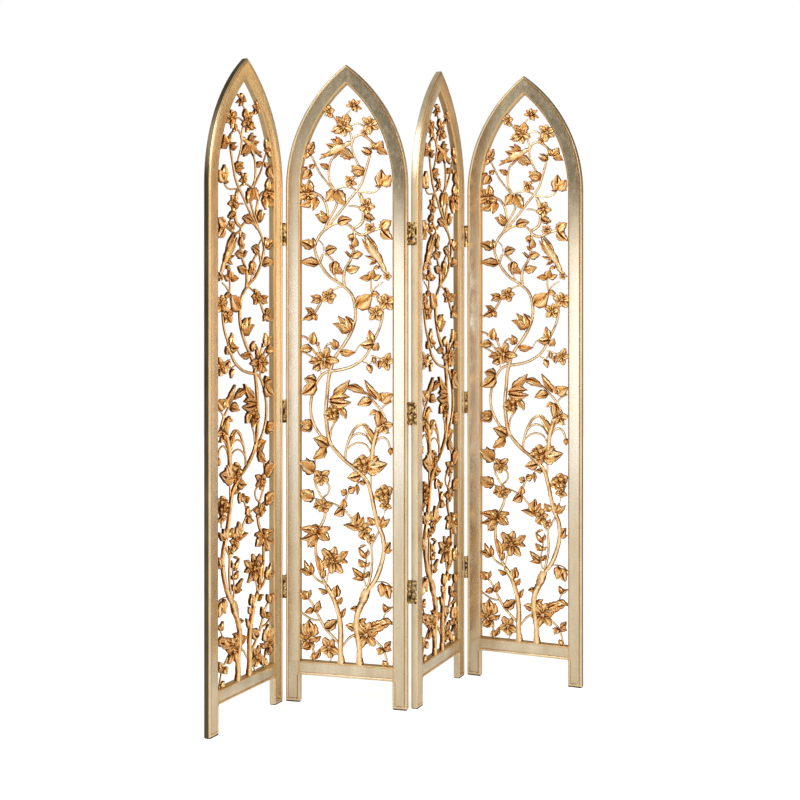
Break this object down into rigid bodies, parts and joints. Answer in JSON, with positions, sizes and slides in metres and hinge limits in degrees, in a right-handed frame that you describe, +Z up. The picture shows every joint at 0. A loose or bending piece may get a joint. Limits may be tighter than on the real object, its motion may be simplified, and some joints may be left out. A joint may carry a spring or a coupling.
{
  "type": "openwork folding screen",
  "caption": "Tall folding screen of hinged panels with pointed-arch tops, moulded gilt frames and carved openwork vines, for dividing a room.",
  "frame": {"origin": "on the floor, under the middle of the rectangle that holds all the feet, with the screen standing in its zigzag", "axes": "+Z up, +X along the front of the second panel from the left, -Y towards the viewer"},
  "size_m": [1.0072, 0.8276, 2],
  "materials": {
    "frame_gold": "gold leaf over gesso, lightly rubbed, mottled",
    "carving_gold": "warm gold leaf with brown glaze in the hollows",
    "bare_wood": "bare hardwood",
    "hinge_brass": "antique brass",
    "glide": "matt black"
  },
  "bodies": {
    "panel_1": {"panel_1_left_upright": "frame_gold", "panel_1_right_upright": "frame_gold", "panel_1_bottom_rail": "frame_gold", "panel_1_apex_tongue": "bare_wood", "panel_1_foot_glides": "glide", "panel_1_openwork": "carving_gold", "hinges_1_to_2_pin_leaves": "hinge_brass"},
    "panel_2": {"panel_2_left_upright": "frame_gold", "panel_2_right_upright": "frame_gold", "panel_2_bottom_rail": "frame_gold", "panel_2_apex_tongue": "bare_wood", "panel_2_foot_glides": "glide", "panel_2_openwork": "carving_gold", "hinges_2_to_3_pin_leaves": "hinge_brass", "hinges_1_to_2_sleeve_leaves": "hinge_brass"},
    "panel_3": {"panel_3_left_upright": "frame_gold", "panel_3_right_upright": "frame_gold", "panel_3_bottom_rail": "frame_gold", "panel_3_apex_tongue": "bare_wood", "panel_3_foot_glides": "glide", "panel_3_openwork": "carving_gold", "hinges_3_to_4_pin_leaves": "hinge_brass", "hinges_2_to_3_sleeve_leaves": "hinge_brass"},
    "panel_4": {"panel_4_left_upright": "frame_gold", "panel_4_right_upright": "frame_gold", "panel_4_bottom_rail": "frame_gold", "panel_4_apex_tongue": "bare_wood", "panel_4_foot_glides": "glide", "panel_4_openwork": "carving_gold", "hinges_3_to_4_sleeve_leaves": "hinge_brass"}
  },
  "joints": [
    {"name": "panel_1_swing", "type": "hinge", "parent": "panel_2", "child": "panel_1", "pos_m": [-0.38983, -0.02809, 0.9], "axis": [0, 0, 1], "range_deg": [-77, 103]},
    {"name": "panel_3_swing", "type": "hinge", "parent": "panel_2", "child": "panel_3", "pos_m": [0.00917, 0.00111, 0.9], "axis": [0, 0, 1], "range_deg": [-80, 100]},
    {"name": "panel_4_swing", "type": "hinge", "parent": "panel_3", "child": "panel_4", "pos_m": [0.10721, 0.38898, 0.9], "axis": [0, 0, 1], "range_deg": [-92, 88]}
  ]
}
